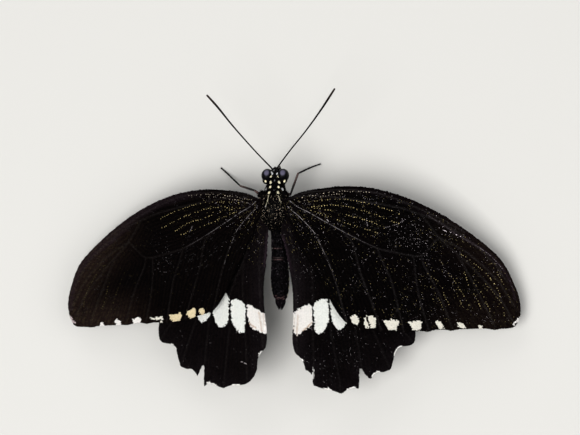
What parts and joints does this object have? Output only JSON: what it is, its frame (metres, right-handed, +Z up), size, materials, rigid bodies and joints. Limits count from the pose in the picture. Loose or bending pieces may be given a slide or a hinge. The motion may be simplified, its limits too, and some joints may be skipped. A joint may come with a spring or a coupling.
{
  "type": "swallowtail butterfly",
  "caption": "Male common mormon butterfly, life size, standing with its wings spread flat, black with a white band across the hindwings and its tails worn off.",
  "frame": {"origin": "on the ground under the middle of the model's bounding box", "axes": "+X towards the butterfly's own right, +Y the way it faces, +Z up"},
  "size_m": [0.0888, 0.057, 0.0175],
  "materials": {
    "body": "matte black coat of scales and short hair with small cream dots",
    "wing": "matte black-brown scales with cream margin spots and a white band, gold dusting",
    "eye": "glossy black compound eye with a bluish sheen",
    "feeler": "satin black jointed cuticle",
    "limb": "satin black-brown cuticle with short scales and spines"
  },
  "bodies": {
    "root": {"head": "body", "collar": "body", "thorax": "body", "abdomen": "body", "clasper_right": "body", "clasper_left": "body", "palp_right": "body", "palp_left": "body", "tegula_right": "body", "tegula_left": "body", "eye_right": "eye", "eye_left": "eye", "proboscis": "feeler", "antenna_right": "feeler", "antenna_left": "feeler", "forewing_right": "wing", "forewing_left": "wing", "hindwing_right": "wing", "hindwing_left": "wing", "leg_fore_right": "limb", "leg_fore_left": "limb", "leg_mid_right": "limb", "leg_mid_left": "limb", "leg_hind_right": "limb", "leg_hind_left": "limb"}
  },
  "joints": []
}
